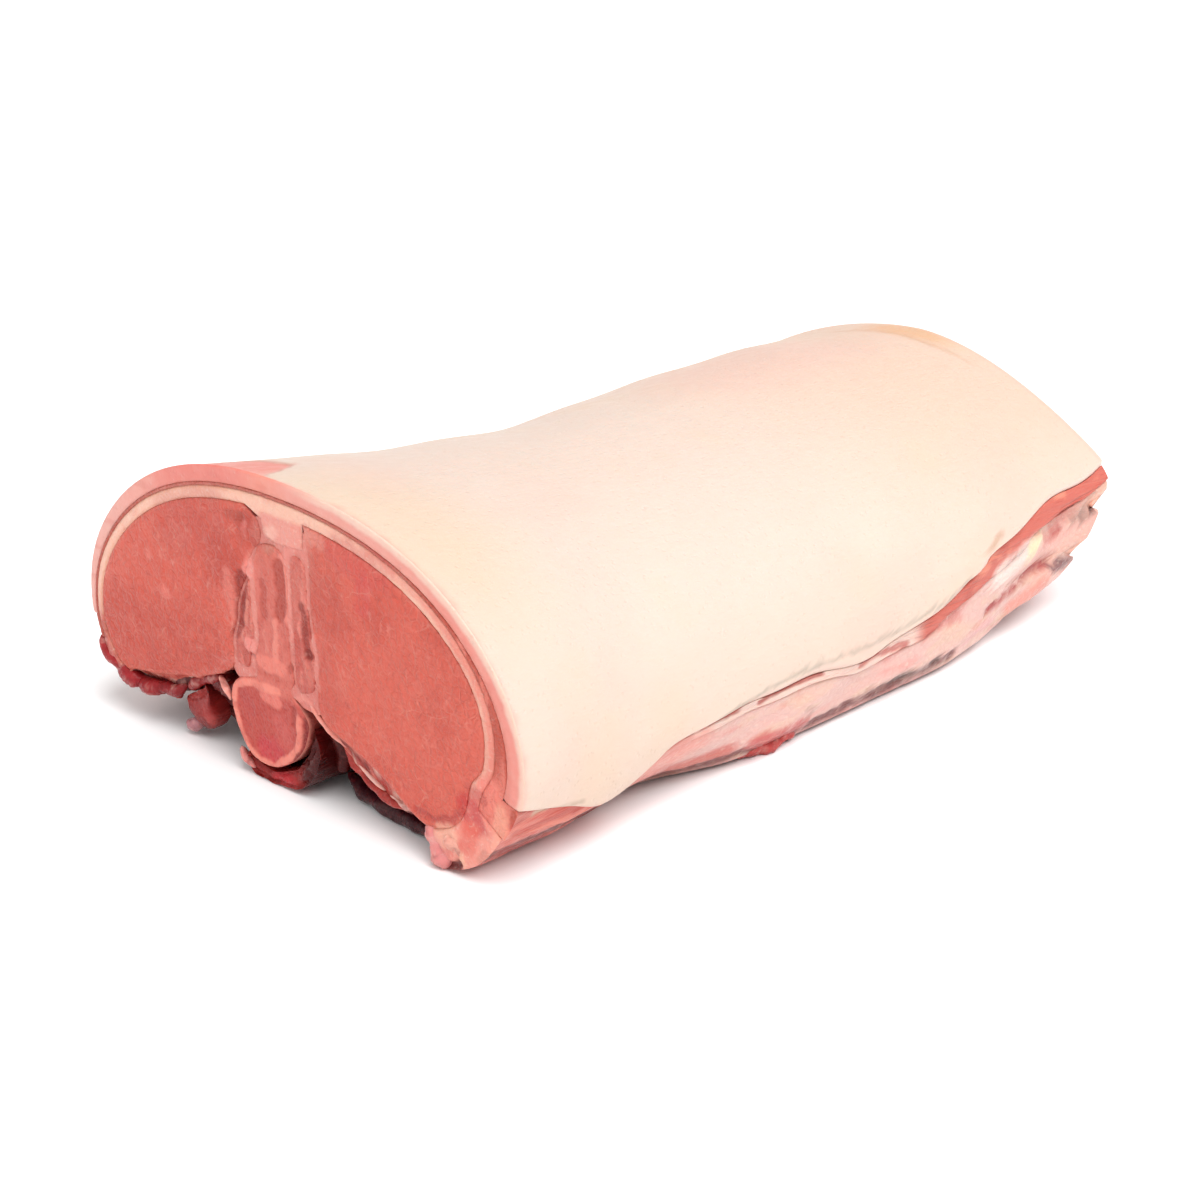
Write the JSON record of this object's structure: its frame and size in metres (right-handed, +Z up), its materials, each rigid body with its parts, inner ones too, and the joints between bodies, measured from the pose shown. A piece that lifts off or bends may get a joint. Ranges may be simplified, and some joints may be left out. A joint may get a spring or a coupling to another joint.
{
  "type": "pork loin",
  "caption": "Raw double pork loin on the bone, rind on: an arched roast with both loin eyes, layered back fat and the backbone showing at its cut ends, for kitchen and butcher scenes.",
  "frame": {"origin": "middle of the footprint of the joint as it lies on a surface, at the surface", "axes": "+Z up, +Y along the backbone from the front cut face to the back one, +X to the right as seen from the front cut face"},
  "size_m": [0.2207, 0.36, 0.1121],
  "materials": {
    "rind": "satin",
    "fat": "satin",
    "lean": "moist",
    "dark_lean": "moist",
    "bone": "satin"
  },
  "bodies": {
    "root": {"rind_and_back_fat": "rind", "lean_seam": "lean", "inner_fat": "fat", "loin_eye_right": "lean", "loin_eye_left": "lean", "backbone": "bone", "spine_lean_right": "dark_lean", "spine_lean_left": "dark_lean", "crus_lean": "dark_lean", "hanging_lean": "dark_lean"}
  },
  "joints": []
}
